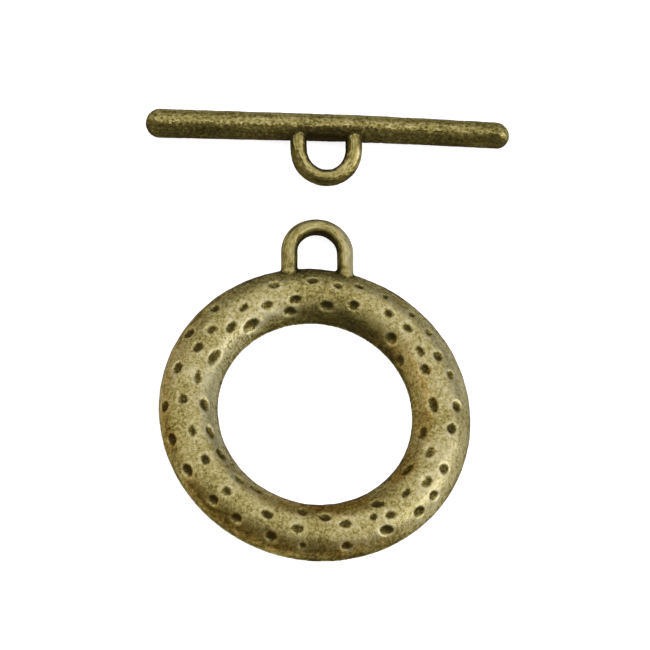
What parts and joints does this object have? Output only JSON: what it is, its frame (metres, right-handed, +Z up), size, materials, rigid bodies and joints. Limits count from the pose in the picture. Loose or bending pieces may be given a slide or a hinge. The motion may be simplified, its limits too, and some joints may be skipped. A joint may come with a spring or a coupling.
{
  "type": "toggle clasp",
  "caption": "Toggle clasp laid open: a pitted, flat-backed ring with a wire loop on its rim, and a round tapered bar with the same loop at its middle.",
  "frame": {"origin": "middle of the ring's hole, in the plane of the ring's flat back, which is the table that both halves lie on", "axes": "+Z up out of the table, +Y from the ring's middle through its loop towards the bar, +X towards the bar's thin end"},
  "size_m": [0.0356, 0.0462, 0.0028],
  "materials": {
    "ring_metal": "antiqued bronze tone, worn bright on the crown and dark in the dents",
    "bar_metal": "antiqued bronze tone, finely crinkled, worn bright on top"
  },
  "bodies": {
    "root": {"toggle_ring": "ring_metal", "toggle_bar": "bar_metal"}
  },
  "joints": []
}
